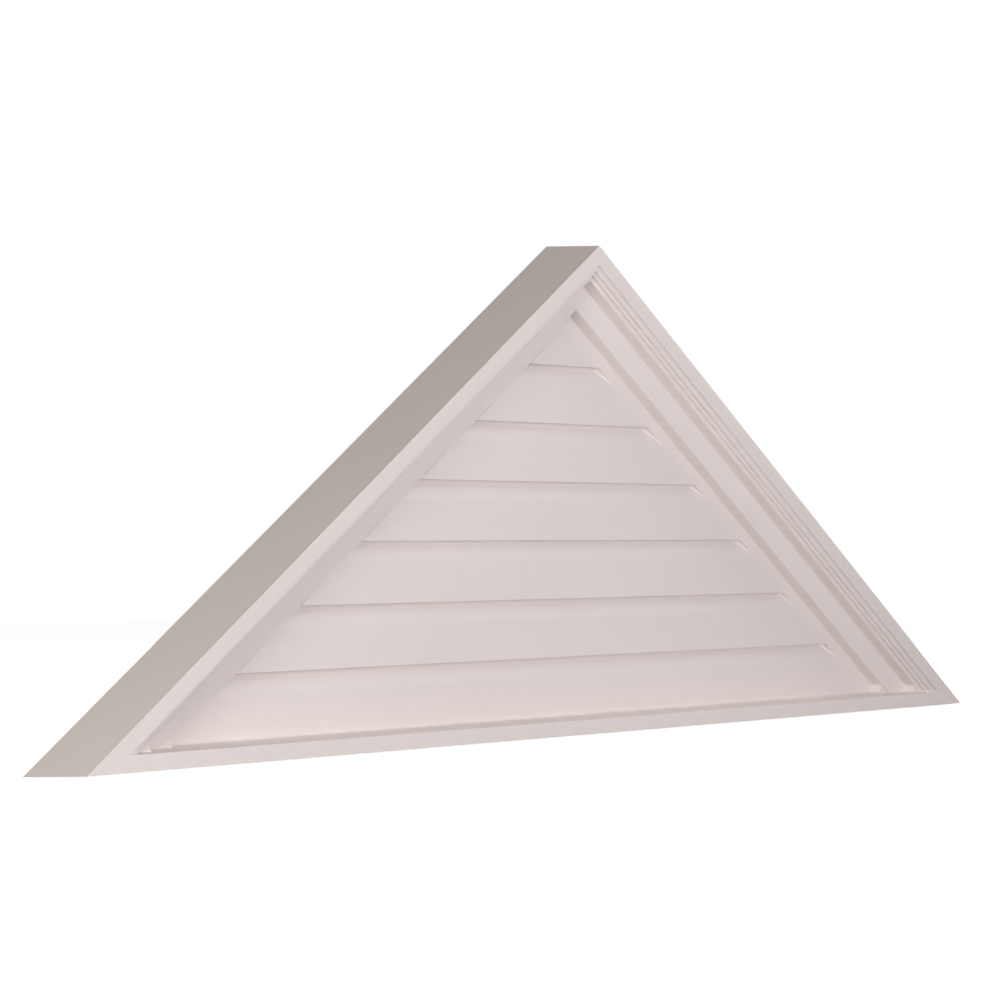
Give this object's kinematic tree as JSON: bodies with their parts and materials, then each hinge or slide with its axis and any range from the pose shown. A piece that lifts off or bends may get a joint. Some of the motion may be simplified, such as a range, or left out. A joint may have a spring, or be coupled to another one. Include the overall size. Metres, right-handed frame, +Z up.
{
  "type": "gable vent",
  "caption": "Triangular moulded gable vent with a stepped rake moulding, a flat border and closed horizontal louvres, flat at the back for fixing to a wall.",
  "frame": {"origin": "middle of the back face's bottom edge, on the wall plane", "axes": "+X along the width to the viewer's right, +Y into the wall so that the front faces -Y, +Z up"},
  "size_m": [1.2192, 0.054, 0.4064],
  "materials": {
    "primed_foam": "matte off-white factory primer on moulded rigid urethane"
  },
  "bodies": {
    "root": {"gable_vent": "primed_foam"}
  },
  "joints": []
}
